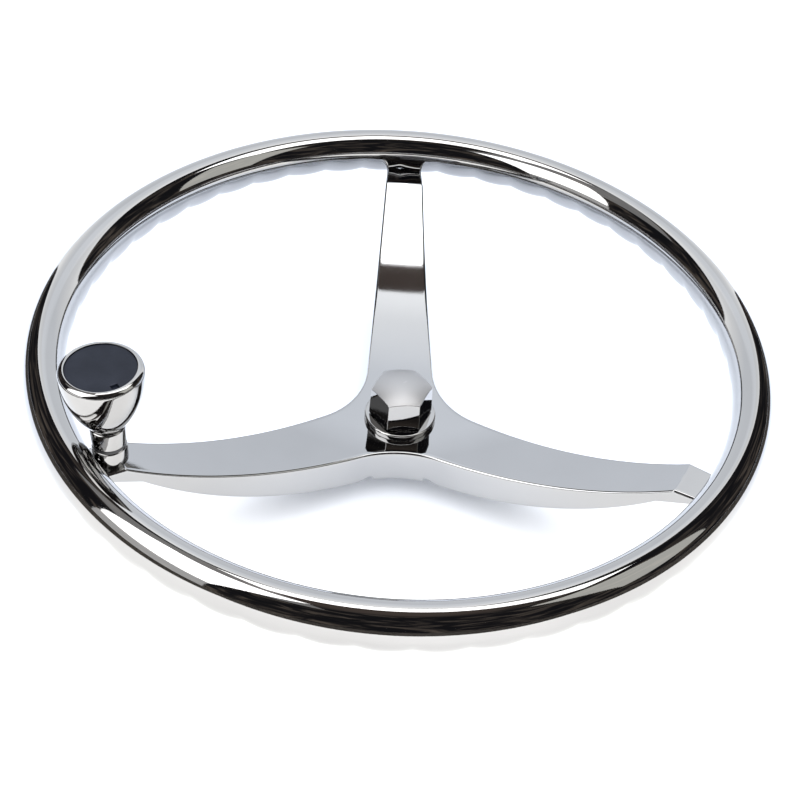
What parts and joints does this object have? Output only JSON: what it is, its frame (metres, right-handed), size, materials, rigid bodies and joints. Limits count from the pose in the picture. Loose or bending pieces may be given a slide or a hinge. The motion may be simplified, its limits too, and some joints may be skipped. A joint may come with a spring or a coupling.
{
  "type": "ship steering wheel",
  "caption": "Dished polished stainless boat steering wheel with spokes swept down to a tapered hub, finger grips under the rim, a domed hub nut and a turning knob.",
  "frame": {"origin": "on the wheel's axis, at the mouth of the tapered shaft bore under the hub", "axes": "+Z along the wheel's axis towards the helmsman, +Y from the axis towards the middle of the one spoke without the knob that points straight up, +X to the right as the helmsman sees it"},
  "size_m": [0.343, 0.343, 0.1183],
  "materials": {
    "polished_steel": "mirror polished",
    "machined_steel": "turned",
    "bronze": "turned",
    "black_nylon": "smooth",
    "blue_nylon": "smooth",
    "cap_plastic": "fine satin",
    "seal_rubber": "matt"
  },
  "bodies": {
    "wheel": {"rim": "polished_steel", "spoke_spider": "polished_steel", "hub_boss": "machined_steel", "hub_washer": "polished_steel", "hub_nut": "polished_steel", "knob_pedestal": "polished_steel", "knob_spindle": "machined_steel", "mount_washer": "machined_steel", "mount_spring_washer": "machined_steel", "mount_nut": "machined_steel", "thrust_ring": "black_nylon", "spindle_washer": "machined_steel", "spindle_lock_nut": "machined_steel", "lock_nut_ring": "blue_nylon"},
    "knob": {"knob_neck": "polished_steel", "lower_bush": "bronze", "upper_bush": "bronze", "knob_cup": "polished_steel", "knob_cap": "cap_plastic", "cap_oring": "seal_rubber"}
  },
  "joints": [
    {"name": "knob_spin", "type": "hinge", "parent": "wheel", "child": "knob", "pos_m": [-0.12471, -0.072, 0.1], "axis": [0, 0, 1], "continuous": true}
  ]
}
